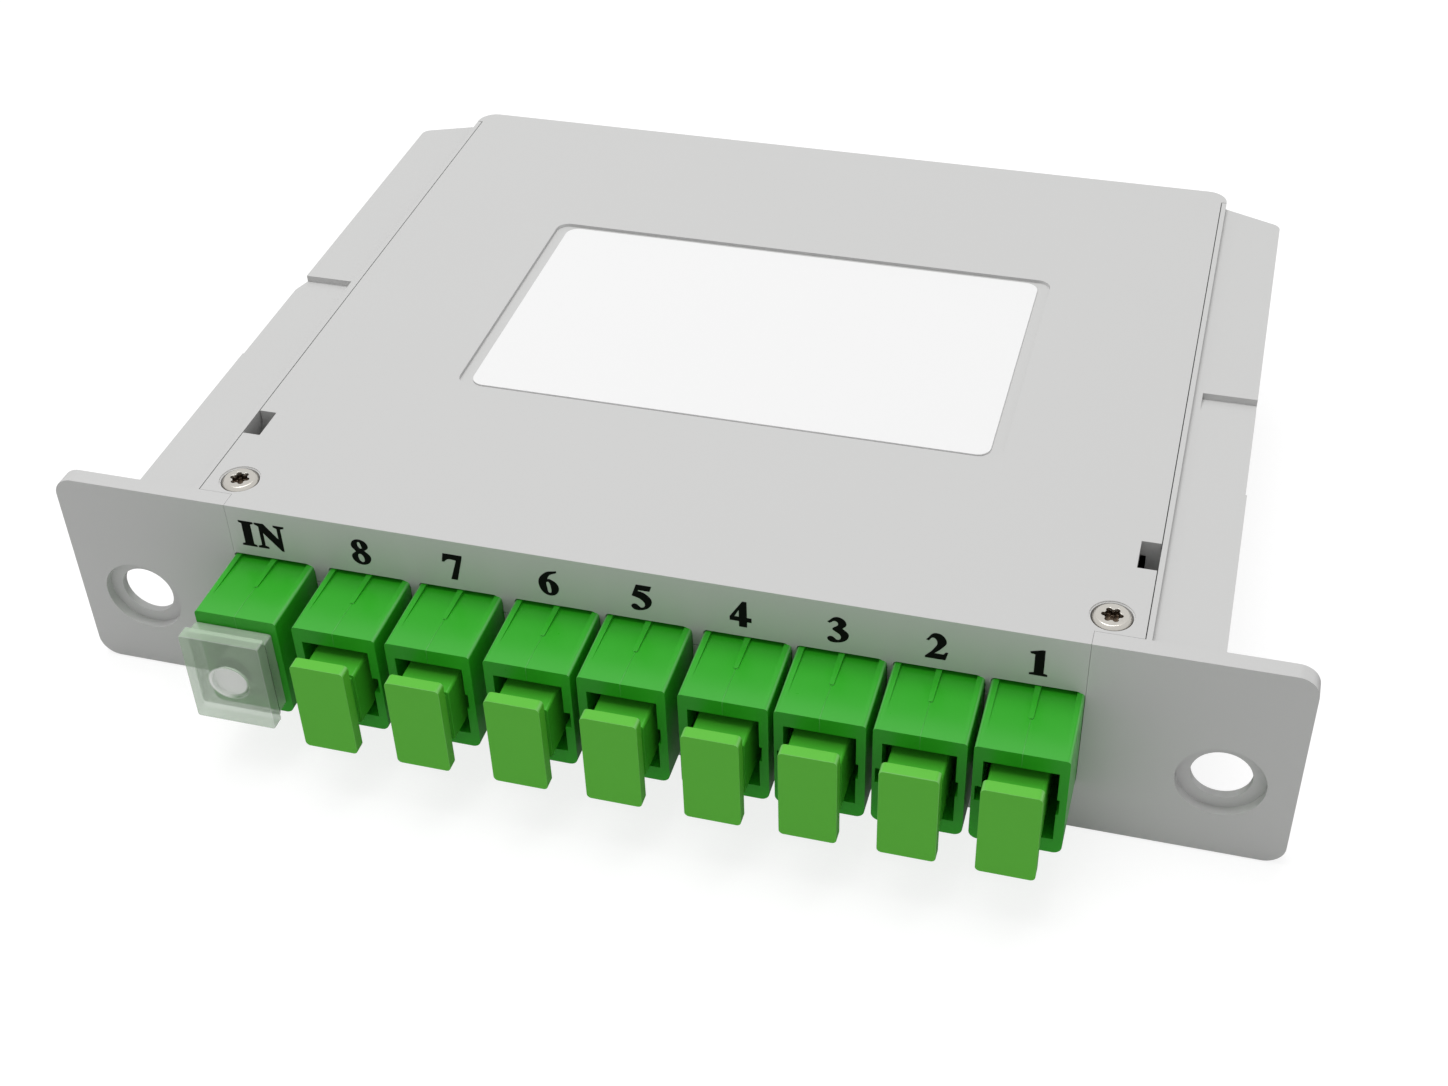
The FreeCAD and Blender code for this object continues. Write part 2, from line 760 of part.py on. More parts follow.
def make_screw(x):
    """Pan-head screw with a six-lobe drive."""
    y = d.screw_setback
    head_radius = d.screw_head_diameter / 2
    rim_height = d.screw_head_height - d.screw_head_chamfer
    shank_radius = d.screw_shank_diameter / 2
    shank_end = screw_seat - d.screw_shank_length
    rim = cylinder("screw_rim", head_radius, rim_height, x, y, screw_seat)
    shank = cylinder("screw_shank", shank_radius, d.screw_shank_length, x, y, shank_end)
    crown = doc.addObject("Part::Cone", "screw_crown")
    bind(crown, "Radius1", head_radius)
    bind(crown, "Radius2", head_radius - d.screw_head_chamfer)
    bind(crown, "Height", d.screw_head_chamfer)
    bind(crown, "Placement.Base.x", x)
    bind(crown, "Placement.Base.y", y)
    bind(crown, "Placement.Base.z", screw_seat + rim_height)
    blank = doc.addObject("Part::MultiFuse", "screw_blank")
    blank.Shapes = [rim, crown, shank]

    drive_floor = screw_head_top - d.screw_drive_depth
    core = cylinder("drive_core", d.screw_drive_radius, d.screw_drive_depth, x, y, drive_floor)
    lobes = [core]
    for index in range(6):
        turn = math.radians(60 * index)
        lobe_x = x + d.screw_drive_radius * math.cos(turn)
        lobe_y = y + d.screw_drive_radius * math.sin(turn)
        lobes.append(
            cylinder("drive_lobe", d.screw_drive_lobe, d.screw_drive_depth, lobe_x, lobe_y, drive_floor)
        )
    drive = doc.addObject("Part::MultiFuse", "screw_drive")
    drive.Shapes = lobes
    screw = doc.addObject("Part::Cut", "screw")
    screw.Base = blank
    screw.Tool = drive
    return screw


def make_cover_screws():
    """The two equal screws that hold the cover down."""
    group = doc.addObject("Part::Compound", "cover_screws")
    group.Label = "cover_screws"
    group.Links = [make_screw(-screw_x), make_screw(screw_x)]
    place(group)
    return group


def make_adapter(port):
    """Square adapter with a socket at each end, a keyway, a collar and a stepped top."""
    body = new_body(f"adapter_{port.name}")
    left = port.x - d.adapter_width / 2
    right = port.x + d.adapter_width / 2

    face = Drawing(body, "XZ", "housing_face", adapter_front)
    face.loop([
        (left, d.port_floor, d.adapter_bottom_corner),
        (right, d.port_floor, d.adapter_bottom_corner),
        (right, adapter_top, d.adapter_top_corner),
        (left, adapter_top, d.adapter_top_corner),
    ])
    pad(body, "housing", face, adapter_rear - adapter_front, backward=True)

    collar = Drawing(body, "XZ", "collar_face", collar_front)
    collar.box(left, right, d.port_floor - d.collar_rise, adapter_top + d.collar_rise)
    pad(body, "collar", collar, d.collar_thickness, backward=True)

    low = adapter_middle - socket_half_height
    high = adapter_middle + socket_half_height
    front_socket = Drawing(body, "XZ", "front_socket_face", adapter_front)
    front_socket.box(port.x - socket_half_width, port.x + socket_half_width, low, high)
    pocket(body, "front_socket", front_socket, web_front - adapter_front)

    rear_socket = Drawing(body, "XZ", "rear_socket_face", adapter_rear)
    rear_socket.box(port.x - socket_half_width, port.x + socket_half_width, low, high)
    pocket(body, "rear_socket", rear_socket, adapter_rear - web_rear, backward=True)

    bore = Drawing(body, "XZ", "web_bore_face", web_front)
    bore.circle(port.x, adapter_middle, holder_outer + d.holder_clearance)
    pocket(body, "web_bore", bore, d.adapter_web)

    over = 0.5
    key_low = adapter_middle - d.keyway_height / 2
    key_high = adapter_middle + d.keyway_height / 2
    inside = port.x + port.key * (socket_half_width - over)
    outside = port.x + port.key * (d.adapter_width / 2 - d.keyway_skin)
    keyway = Drawing(body, "XZ", "keyway_face", adapter_front)
    keyway.box(inside, outside, key_low, key_high)
    pocket(body, "keyway", keyway, d.keyway_length)

    shallow = Drawing(body, "XZ", "key_relief_face", adapter_front)
    inside = port.x - port.key * (socket_half_width - over)
    outside = port.x - port.key * (socket_half_width + d.key_relief)
    shallow.box(inside, outside, key_low, key_high)
    pocket(body, "key_relief", shallow, d.keyway_length)

    step = Drawing(body, "YZ", "top_step_side", left + d.adapter_strip)
    step.loop([
        (-d.adapter_step_run, adapter_top),
        (0, adapter_top - d.adapter_step),
        (collar_front, adapter_top - d.adapter_step),
        (collar_front, adapter_top + over),
        (-d.adapter_step_run, adapter_top + over),
    ])
    pocket(body, "top_step", step, d.adapter_width - 2 * d.adapter_strip, backward=True)

    rib = Drawing(body, "XY", "top_rib_plan", adapter_top - d.adapter_rib_depth)
    tip = d.adapter_rib_tip / 2
    tip_round = tip - 0.01
    rib.loop([
        (port.x - d.adapter_rib_width / 2, collar_front),
        (port.x - tip, -d.adapter_rib_length, tip_round),
        (port.x + tip, -d.adapter_rib_length, tip_round),
        (port.x + d.adapter_rib_width / 2, collar_front),
    ])
    pad(body, "top_rib", rib, d.adapter_rib_depth)
    return body


def make_sleeve_holder(port):
    """Plastic tube through the adapter's web, with a flange behind the web."""
    body = new_body(f"sleeve_holder_{port.name}")
    front = adapter_centre - d.holder_length / 2
    tube = Drawing(body, "XZ", "holder_face", front)
    tube.circle(port.x, adapter_middle, holder_outer)
    pad(body, "holder_tube", tube, d.holder_length, backward=True)
    flange = Drawing(body, "XZ", "flange_face", web_rear)
    flange.circle(port.x, adapter_middle, holder_outer + d.holder_flange)
    pad(body, "holder_flange", flange, d.holder_flange, backward=True)
    bore = Drawing(body, "XZ", "holder_bore_face", front)
    bore.circle(port.x, adapter_middle, holder_inner)
    pocket(body, "holder_bore", bore, d.holder_length)
    return body


def make_alignment_sleeve(port):
    """Split ceramic sleeve that lines the two ferrules up."""
    body = new_body(f"alignment_sleeve_{port.name}")
    front = adapter_centre - d.sleeve_length / 2
    ring = Drawing(body, "XZ", "sleeve_face", front)
    ring.circle(port.x, adapter_middle, sleeve_outer)
    ring.circle(port.x, adapter_middle, sleeve_inner)
    pad(body, "sleeve_ring", ring, d.sleeve_length, backward=True)
    slit = Drawing(body, "XZ", "slit_face", front)
    half = d.sleeve_slit / 2
    slit.box(port.x - half, port.x + half, adapter_middle, adapter_middle + sleeve_outer + half)
    pocket(body, "slit", slit, d.sleeve_length)
    return body


def make_dust_cap(port):
    """Hollow plug with a flat pull plate and a neck groove behind it."""
    body = new_body(f"dust_cap_{port.name}")
    stem_width = socket_half_width - d.cap_side_gap
    stem_height = socket_half_height - d.cap_end_gap
    plate_back = d.cap_plate_thickness - d.cap_plate_front
    neck_back = plate_back + d.cap_neck_length
    stem_end = adapter_front + d.cap_insertion
    middle = port.x + getattr(d, f"cap_play_{port.name}")

    plate_width = stem_width + d.cap_plate_side_lip
    plate_height = stem_height + d.cap_plate_end_lip
    plate = Drawing(body, "XZ", "plate_face", -d.cap_plate_front)
    plate.box(
        middle - plate_width,
        middle + plate_width,
        adapter_middle - plate_height,
        adapter_middle + plate_height,
        d.cap_plate_corner,
    )
    pad(body, "pull_plate", plate, d.cap_plate_thickness, backward=True)

    neck = Drawing(body, "XZ", "neck_face", plate_back)
    neck.box(
        middle - stem_width + d.cap_neck_depth,
        middle + stem_width - d.cap_neck_depth,
        adapter_middle - stem_height + d.cap_neck_depth,
        adapter_middle + stem_height - d.cap_neck_depth,
    )
    pad(body, "neck", neck, d.cap_neck_length, backward=True)

    stem = Drawing(body, "XZ", "stem_face", neck_back)
    stem.box(
        middle - stem_width,
        middle + stem_width,
        adapter_middle - stem_height,
        adapter_middle + stem_height,
        d.cap_stem_corner,
    )
    pad(body, "stem", stem, stem_end - neck_back, backward=True)

    bore = Drawing(body, "XZ", "stem_bore_face", stem_end)
    bore.circle(middle, adapter_middle, holder_outer + d.cap_bore_clearance)
    pocket(body, "stem_bore", bore, stem_end - plate_back - d.cap_bore_end, backward=True)
    return body


def make_clear_cap(port):
    """Clear cap of the inlet: wide plate, collar against the adapter and a hollow plug."""
    body = new_body(f"dust_cap_{port.name}")
    half_width = d.clear_cap_width / 2
    half_height = d.clear_cap_height / 2
    plate_back = d.clear_cap_plate - d.clear_cap_front
    collar_back = adapter_front - d.clear_cap_seat_gap
    stem_end = adapter_front + d.cap_insertion
    middle = port.x - d.clear_cap_offset

    plate = Drawing(body, "XZ", "plate_face", -d.clear_cap_front)
    plate.box(
        middle - half_width,
        middle + half_width,
        adapter_middle - half_height,
        adapter_middle + half_height,
        d.clear_cap_corner,
    )
    pad(body, "front_plate", plate, d.clear_cap_plate, backward=True)

    collar = Drawing(body, "XZ", "collar_face", plate_back)
    collar.box(
        middle - half_width + d.clear_cap_collar_inset,
        middle + half_width - d.clear_cap_collar_inset,
        adapter_middle - half_height + d.clear_cap_collar_drop,
        adapter_middle + half_height - d.clear_cap_collar_drop,
        d.clear_cap_corner,
    )
    pad(body, "rear_collar", collar, collar_back - plate_back, backward=True)

    stem = Drawing(body, "XZ", "stem_face", collar_back)
    stem.box(
        port.x - socket_half_width + d.clear_cap_side_gap,
        port.x + socket_half_width - d.clear_cap_side_gap,
        adapter_middle - socket_half_height + d.clear_cap_end_gap,
        adapter_middle + socket_half_height - d.clear_cap_end_gap,
        d.cap_stem_corner,
    )
    pad(body, "stem", stem, stem_end - collar_back, backward=True)

    bore = Drawing(body, "XZ", "stem_bore_face", stem_end)
    bore.circle(port.x, adapter_middle, holder_outer + d.cap_bore_clearance)
    pocket(body, "stem_bore", bore, stem_end - plate_back, backward=True)

    dimple = Drawing(body, "XZ", "dimple_face", -d.clear_cap_front)
    dimple.circle(port.x, adapter_middle, d.clear_cap_dimple / 2)
    pocket(body, "dimple", dimple, d.clear_cap_dimple_depth)
    return body


def make_inner_plug(port):
    """Connector pushed into the adapter from inside the tray, with ferrule and boot."""
    body = new_body(f"inner_plug_{port.name}")
    half_width = socket_half_width - d.plug_clearance
    half_height = socket_half_height - d.plug_clearance
    shell = Drawing(body, "XZ", "plug_face", plug_front)
    shell.box(
        port.x - half_width,
        port.x + half_width,
        adapter_middle - half_height,
        adapter_middle + half_height,
        d.cap_stem_corner,
    )
    pad(body, "plug_shell", shell, plug_rear - plug_front, backward=True)

    bore = Drawing(body, "XZ", "plug_bore_face", plug_front)
    bore.circle(port.x, adapter_middle, holder_outer + d.plug_bore_clearance)
    pocket(body, "plug_bore", bore, d.plug_bore_depth)

    tip = adapter_centre + d.ferrule_clearance
    ferrule = Drawing(body, "XZ", "ferrule_face", tip)
    ferrule.circle(port.x, adapter_middle, ferrule_radius)
    pad(body, "ferrule", ferrule, plug_front + d.plug_bore_depth - tip, backward=True)

    boot = body.newObject("PartDesign::AdditiveCone", "boot")
    boot.AttachmentSupport = (origin_plane(body, "XZ"), "")
    boot.MapMode = "FlatFace"
    bind(boot, "AttachmentOffset.Base.x", port.x)
    bind(boot, "AttachmentOffset.Base.y", adapter_middle)
    bind(boot, "AttachmentOffset.Base.z", -boot_end)
    bind(boot, "Radius1", d.boot_end_diameter / 2)
    bind(boot, "Radius2", d.boot_diameter / 2)
    bind(boot, "Height", d.boot_length)
    body.Tip = boot
    return body


def make_splitter_module():
    """Flat metal splitter module between its clips on the tray's floor."""
    body = new_body("splitter_module")
    plan = Drawing(body, "XY", "module_plan", d.floor)
    half_length = d.module_length / 2
    half_width = d.module_width / 2
    plan.box(-half_length, half_length, coil_middle - half_width, coil_middle + half_width)
    pad(body, "module_case", plan, d.module_height)
    return body


def make_fibre_coil():
    """Oval bundle of spare fibre wound around the hub."""
    body = new_body("fibre_coil")
    plan = Drawing(body, "XY", "coil_plan", d.floor)
    plan.racetrack(coil_straight, coil_middle, d.coil_radius)
    plan.racetrack(coil_straight, coil_middle, coil_inner)
    pad(body, "wound_fibre", plan, d.coil_height)
    return body


def lead_tube(x, start_y, end_y, start_z, end_z):
    """Fibre tube that leaves a boot level, dips over a short knee, and ends level at the coil."""
    slope = math.radians(d.lead_slope.number)
    knee_run = d.lead_knee.number * math.cos(slope / 2)
    knee_drop = d.lead_knee.number * math.sin(slope / 2)
    dip = start_z - end_z - 2 * knee_drop
    run = dip / math.tan(slope)
    straight = (end_y - start_y - 2 * knee_run - run) / 2
    steps = [(straight, 0), (knee_run, knee_drop), (run, dip), (knee_run, knee_drop), (straight, 0)]
    spots = [FreeCAD.Vector(x, start_y, start_z)]
    for along, down in steps:
        spots.append(spots[-1] + FreeCAD.Vector(0, along, -down))
    return sweep_tube(spots)


def sweep_tube(spots):
    """Round tube of the lead's diameter through spots, checked against section times length."""
    radius = d.lead_diameter.number / 2
    path = Part.makePolygon(spots)
    ring = Part.Wire([Part.Circle(spots[0], spots[1] - spots[0], radius).toShape()])
    mitred = 1
    tube = path.makePipeShell([ring], True, False, mitred)
    expected = math.pi * radius ** 2 * path.Length
    if abs(tube.Volume - expected) > 0.01 * expected:
        raise RuntimeError("fibre lead has a wrong volume")
    return tube


def make_fibre_leads():
    """One fibre tube per connector, and one from each end of the module, all ending at the coil."""
    coil_level = d.floor.number + d.coil_height.number / 2
    middle, radius = coil_middle.number, d.coil_radius.number
    gap = d.lead_seat_gap.number
    tubes = []
    for port in PORTS:
        x = port.x.number
        inner_edge = max(0.0, abs(x) - d.lead_diameter.number / 2 - coil_straight.number)
        coil_face = middle - math.sqrt(radius ** 2 - inner_edge ** 2)
        start = boot_end.number + gap
        tubes.append(lead_tube(x, start, coil_face - gap, adapter_middle.number, coil_level))
    for side in (1, -1):
        start = FreeCAD.Vector(side * (d.module_length.number / 2 + gap), middle, coil_level)
        end = FreeCAD.Vector(side * (coil_straight.number + coil_inner.number - gap), middle, coil_level)
        tubes.append(sweep_tube([start, end]))
    leads = doc.addObject("Part::Feature", "fibre_leads")
    leads.Label = "fibre_leads"
    leads.Shape = Part.makeCompound(tubes)
    place(leads)
    return leads


def make_all():
    pieces = [make_base_tray(), make_top_cover(), make_blank_label(), make_cover_screws()]
    for port in PORTS:
        pieces.append(make_adapter(port))
        pieces.append(make_sleeve_holder(port))
        pieces.append(make_alignment_sleeve(port))
        pieces.append(make_clear_cap(port) if port.name == "in" else make_dust_cap(port))
        pieces.append(make_inner_plug(port))
    pieces += [make_splitter_module(), make_fibre_coil(), make_fibre_leads()]
    return pieces


def check_and_write(pieces):
    doc.recompute()
    for obj in doc.Objects:
        if "Invalid" in obj.State or "Error" in obj.State:
            raise RuntimeError(f"{obj.Name} is in state {obj.State}")
        if obj.TypeId == "PartDesign::Pocket" and obj.Shape.Volume >= obj.BaseFeature.Shape.Volume:
            raise RuntimeError(f"{obj.Name} removes nothing")
    for piece in pieces:
        if piece.Shape.isNull() or not piece.Shape.isValid() or not piece.Shape.Solids:
            raise RuntimeError(f"{piece.Label} has no valid solid")
    os.makedirs("parts", exist_ok=True)
    for piece in pieces:
        piece.Shape.exportStep(f"parts/{piece.Label}.step")


check_and_write(make_all())
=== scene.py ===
import bpy
import json
import math
from mathutils import Matrix, Vector

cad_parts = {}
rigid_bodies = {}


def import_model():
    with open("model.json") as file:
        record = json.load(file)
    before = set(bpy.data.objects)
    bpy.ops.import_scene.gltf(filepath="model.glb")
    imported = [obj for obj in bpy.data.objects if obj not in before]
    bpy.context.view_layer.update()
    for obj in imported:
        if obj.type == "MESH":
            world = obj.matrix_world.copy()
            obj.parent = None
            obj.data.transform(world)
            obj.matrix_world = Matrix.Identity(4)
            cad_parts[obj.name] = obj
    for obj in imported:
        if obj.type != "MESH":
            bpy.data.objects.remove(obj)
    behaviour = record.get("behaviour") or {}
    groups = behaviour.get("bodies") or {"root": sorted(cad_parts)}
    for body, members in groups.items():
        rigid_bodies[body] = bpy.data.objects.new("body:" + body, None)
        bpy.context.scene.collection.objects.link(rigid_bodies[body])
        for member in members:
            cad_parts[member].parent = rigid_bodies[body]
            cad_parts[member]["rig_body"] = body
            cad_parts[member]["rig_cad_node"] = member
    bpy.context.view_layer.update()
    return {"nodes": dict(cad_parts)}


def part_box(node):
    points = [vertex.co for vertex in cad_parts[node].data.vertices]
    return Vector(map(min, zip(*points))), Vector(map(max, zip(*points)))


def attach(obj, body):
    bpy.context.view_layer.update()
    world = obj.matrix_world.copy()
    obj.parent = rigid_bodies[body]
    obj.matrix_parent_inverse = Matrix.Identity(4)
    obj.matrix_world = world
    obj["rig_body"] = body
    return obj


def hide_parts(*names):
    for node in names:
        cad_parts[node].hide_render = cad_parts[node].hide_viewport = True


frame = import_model()

# Picture and daylight.
# The camera stands in front, a little to the right and well above, as in the photograph. A white
# room lights the box evenly, and a large soft lamp overhead makes the top the brightest side.
MM = 0.001
PICTURE_WIDTH = 1448
FOCAL_PIXELS = 2018.0
SENSOR_WIDTH = 36.0
CAMERA_TURN = math.radians(16.861)
CAMERA_TILT = math.radians(39.39)
CAMERA_ROLL = math.radians(-2.051)
PANEL_FACE_Y = -36.5
CAMERA_SPOT = Vector((51.768, PANEL_FACE_Y - 142.325, 152.177)) * MM

camera_data = bpy.data.cameras.new("camera")
camera_data.sensor_width = SENSOR_WIDTH
camera_data.lens = FOCAL_PIXELS / PICTURE_WIDTH * SENSOR_WIDTH
camera_data.clip_start = 10 * MM
camera = bpy.data.objects.new("camera", camera_data)
turn = Matrix.Rotation(CAMERA_TURN, 4, "Z")
tilt = Matrix.Rotation(math.pi / 2 - CAMERA_TILT, 4, "X")
roll = Matrix.Rotation(CAMERA_ROLL, 4, "Z")
camera.matrix_world = Matrix.Translation(CAMERA_SPOT) @ turn @ tilt @ roll
bpy.context.scene.collection.objects.link(camera)
bpy.context.scene.camera = camera
bpy.context.scene.view_settings.view_transform = "Standard"


def operation_node(tree, kind, operation):
    """Math or VectorMath node that does one operation."""
    node = tree.nodes.new(f"ShaderNode{kind}")
    node.operation = operation
    return node


def range_node(tree, limits):
    """Map Range node with some of its limits set."""
    node = tree.nodes.new("ShaderNodeMapRange")
    for label, value in limits.items():
        node.inputs[label].default_value = value
    return node


# The room is full white to the camera and in shiny faces, and lights the box at a lower level.
ROOM_LIGHT = 0.46
ROOM_WHITE = 1.0
world = bpy.data.worlds.new("white_room")
world.use_nodes = True
bpy.context.scene.world = world
room_tree = world.node_tree
room = room_tree.nodes["Background"]
room.inputs["Color"].default_value = (1.0, 1.0, 1.0, 1.0)
room_rays = room_tree.nodes.new("ShaderNodeLightPath")
room_direct = operation_node(room_tree, "Math", "MAXIMUM")
room_seen = operation_node(room_tree, "Math", "MAXIMUM")
room_level = range_node(room_tree, {"To Min": ROOM_LIGHT, "To Max": ROOM_WHITE})
room_tree.links.new(room_rays.outputs["Is Camera Ray"], room_direct.inputs[0])
room_tree.links.new(room_rays.outputs["Is Transmission Ray"], room_direct.inputs[1])
room_tree.links.new(room_direct.outputs[0], room_seen.inputs[0])
room_tree.links.new(room_rays.outputs["Is Glossy Ray"], room_seen.inputs[1])
room_tree.links.new(room_seen.outputs[0], room_level.inputs["Value"])
room_tree.links.new(room_level.outputs["Result"], room.inputs["Strength"])

LAMP_LENGTH = 0.5
LAMP_WIDTH = 0.36
LAMP_POWER = 2.72
LAMP_SPOT = Vector((-0.06, 0.04, 0.62))
lamp_data = bpy.data.lights.new("overhead_lamp", "AREA")
lamp_data.shape = "RECTANGLE"
lamp_data.size = LAMP_LENGTH
lamp_data.size_y = LAMP_WIDTH
lamp_data.energy = LAMP_POWER
lamp = bpy.data.objects.new("overhead_lamp", lamp_data)
lamp.location = LAMP_SPOT
lamp.rotation_euler = LAMP_SPOT.to_track_quat("Z", "Y").to_euler()
bpy.context.scene.collection.objects.link(lamp)

# The pale floor glows nearly white to the camera, so that only soft shadows show on it. In shiny
# faces it is dim, which keeps the fronts of the adapters deep in colour.
FLOOR_SIZE = 6.0
FLOOR_DROP = 0.2 * MM
FLOOR_PALE = (0.90, 0.90, 0.90, 1.0)
FLOOR_GLOW = 1.14
FLOOR_SHINE = 0.15
FLOOR_SHARE = 0.72
bpy.ops.object.select_all(action="DESELECT")
bpy.ops.mesh.primitive_plane_add(size=FLOOR_SIZE, location=(0.0, 0.0, -FLOOR_DROP))
bpy.ops.object.transform_apply(location=True)
floor = bpy.context.object
floor.name = "pale_floor"
floor_paint = bpy.data.materials.new("pale_floor")
floor_paint.use_nodes = True
floor_tree = floor_paint.node_tree
floor_shader = floor_tree.nodes["Principled BSDF"]
floor_shader.inputs["Base Color"].default_value = FLOOR_PALE
floor_shader.inputs["Roughness"].default_value = 0.9
floor_shader.inputs["Specular IOR Level"].default_value = 0.1
floor_white = floor_tree.nodes.new("ShaderNodeEmission")
floor_rays = floor_tree.nodes.new("ShaderNodeLightPath")
floor_glow = range_node(floor_tree, {"To Min": FLOOR_GLOW, "To Max": FLOOR_SHINE})
floor_direct = operation_node(floor_tree, "Math", "MAXIMUM")
floor_share = operation_node(floor_tree, "Math", "MULTIPLY_ADD")
floor_share.inputs[1].default_value = FLOOR_SHARE
floor_mix = floor_tree.nodes.new("ShaderNodeMixShader")
floor_surface = floor_tree.nodes["Material Output"].inputs["Surface"]
floor_tree.links.new(floor_rays.outputs["Is Glossy Ray"], floor_glow.inputs["Value"])
floor_tree.links.new(floor_glow.outputs["Result"], floor_white.inputs["Strength"])
floor_tree.links.new(floor_rays.outputs["Is Camera Ray"], floor_direct.inputs[0])
floor_tree.links.new(floor_rays.outputs["Is Transmission Ray"], floor_direct.inputs[1])
floor_tree.links.new(floor_direct.outputs[0], floor_share.inputs[0])
floor_tree.links.new(floor_rays.outputs["Is Glossy Ray"], floor_share.inputs[2])
floor_tree.links.new(floor_share.outputs[0], floor_mix.inputs["Fac"])
floor_tree.links.new(floor_shader.outputs["BSDF"], floor_mix.inputs[1])
floor_tree.links.new(floor_white.outputs["Emission"], floor_mix.inputs[2])
floor_tree.links.new(floor_mix.outputs["Shader"], floor_surface)
floor.data.materials.append(floor_paint)

# Moulded housing: tray and cover.
# Both are light grey ABS with a fine spark-eroded grain. Every edge left by the mould has a
# small radius, and the cover lies flush in the tray's rim and is held by two screws in front.
HOUSING_GREY = (0.555, 0.555, 0.55, 1.0)
TRAY_RADIUS = 0.12 * MM
COVER_RADIUS = 0.06 * MM
GRAIN_HEIGHT = 0.05 * MM
SHINE_SPREAD = 0.05
WELD_DISTANCE = 0.005 * MM
FLAT_ANGLE = math.radians(1)
EDGE_ANGLE = math.radians(35)
SMOOTH_ANGLE = math.radians(40)


def new_effect(name, inputs, outputs):
    """Empty node group with float inputs and outputs, and the nodes that stand at its ends."""
    group = bpy.data.node_groups.new(name, "ShaderNodeTree")
    for label, value in inputs.items():
        socket = group.interface.new_socket(label, in_out="INPUT", socket_type="NodeSocketFloat")
        socket.default_value = value
    for label in outputs:
        group.interface.new_socket(label, in_out="OUTPUT", socket_type="NodeSocketFloat")
    start = group.nodes.new("NodeGroupInput")
    end = group.nodes.new("NodeGroupOutput")
    return group, start, end


def make_moulded_grain():
    """Fine pits of a moulded surface, and slow cloudy differences of tone."""
    scales = {"Pits": 1800.0, "Clouds": 40.0}
    group, start, end = new_effect("moulded_grain", scales, ("Height", "Cloud"))
    place = group.nodes.new("ShaderNodeTexCoord")
    pits = group.nodes.new("ShaderNodeTexNoise")
    pits.inputs["Detail"].default_value = 3.0
    clouds = group.nodes.new("ShaderNodeTexNoise")
    clouds.inputs["Detail"].default_value = 2.0
    group.links.new(place.outputs["Object"], pits.inputs["Vector"])
    group.links.new(place.outputs["Object"], clouds.inputs["Vector"])
    group.links.new(start.outputs["Pits"], pits.inputs["Scale"])
    group.links.new(start.outputs["Clouds"], clouds.inputs["Scale"])
    group.links.new(pits.outputs["Fac"], end.inputs["Height"])
    group.links.new(clouds.outputs["Fac"], end.inputs["Cloud"])
    return group


def make_highlight_edge_mask():
    """Mask for a painted highlight on the small radii at the edges, which face none of the object's
    own axes.
    """
    group, start, end = new_effect("highlight_edge_mask", {"Flat": 0.97, "Round": 0.80}, ("Mask",))
    place = group.nodes.new("ShaderNodeTexCoord")
    facing = operation_node(group, "VectorMath", "ABSOLUTE")
    axes = group.nodes.new("ShaderNodeSeparateXYZ")
    sideways = operation_node(group, "Math", "MAXIMUM")
    largest = operation_node(group, "Math", "MAXIMUM")
    mask = group.nodes.new("ShaderNodeMapRange")
    group.links.new(place.outputs["Normal"], facing.inputs[0])
    group.links.new(facing.outputs[0], axes.inputs["Vector"])
    group.links.new(axes.outputs["X"], sideways.inputs[0])
    group.links.new(axes.outputs["Y"], sideways.inputs[1])
    group.links.new(sideways.outputs[0], largest.inputs[0])
    group.links.new(axes.outputs["Z"], largest.inputs[1])
    group.links.new(largest.outputs[0], mask.inputs["Value"])
    group.links.new(start.outputs["Flat"], mask.inputs["From Min"])
    group.links.new(start.outputs["Round"], mask.inputs["From Max"])
    group.links.new(mask.outputs["Result"], end.inputs["Mask"])
    return group


moulded_grain = make_moulded_grain()
highlight_edge_mask = make_highlight_edge_mask()


def effect_node(tree, effect):
    """Node that places one of the shared effects in a material."""
    node = tree.nodes.new("ShaderNodeGroup")
    node.node_tree = effect
    return node


def mixed_colour(tree, mask, low, high):
    """Colour that goes from low to high as the mask rises; each is a colour or another output."""
    mix = tree.nodes.new("ShaderNodeMix")
    mix.data_type = "RGBA"
    tree.links.new(mask, mix.inputs["Factor"])
    for side, colour in (("A", low), ("B", high)):
        if isinstance(colour, tuple):
            mix.inputs[side].default_value = colour
        else:
            tree.links.new(colour, mix.inputs[side])
    return mix.outputs["Result"]


def moulded_plastic(name, colour, shade, roughness, pits, bump, clouds=40.0, gloss=0.5, edge_highlight=0.0):
    """Moulded plastic whose tone and shine vary a little, with grain of the given pit scale.

    Its rounded edges get a painted highlight, paler by the given share of white.
    """
    material = bpy.data.materials.new(name)
    material.use_nodes = True
    tree = material.node_tree
    shader = tree.nodes["Principled BSDF"]
    shader.inputs["Specular IOR Level"].default_value = gloss
    grain = effect_node(tree, moulded_grain)
    grain.inputs["Pits"].default_value = pits
    grain.inputs["Clouds"].default_value = clouds
    highlight_edges = effect_node(tree, highlight_edge_mask)
    darker = tuple(channel * shade for channel in colour[:3]) + (1.0,)
    # Paler colour of the painted highlight on the rounded edges
    highlight_colour = tuple(channel + (1 - channel) * edge_highlight for channel in colour)
    tone = mixed_colour(tree, grain.outputs["Cloud"], colour, darker)
    highlighted_tone = mixed_colour(tree, highlight_edges.outputs["Mask"], tone, highlight_colour)
    limits = {"To Min": roughness - SHINE_SPREAD, "To Max": roughness + SHINE_SPREAD}
    shine = range_node(tree, limits)
    relief = tree.nodes.new("ShaderNodeBump")
    relief.inputs["Strength"].default_value = bump
    relief.inputs["Distance"].default_value = GRAIN_HEIGHT
    tree.links.new(highlighted_tone, shader.inputs["Base Color"])
    tree.links.new(grain.outputs["Height"], shine.inputs["Value"])
    tree.links.new(shine.outputs["Result"], shader.inputs["Roughness"])
    tree.links.new(grain.outputs["Height"], relief.inputs["Height"])
    tree.links.new(relief.outputs["Normal"], shader.inputs["Normal"])
    return material


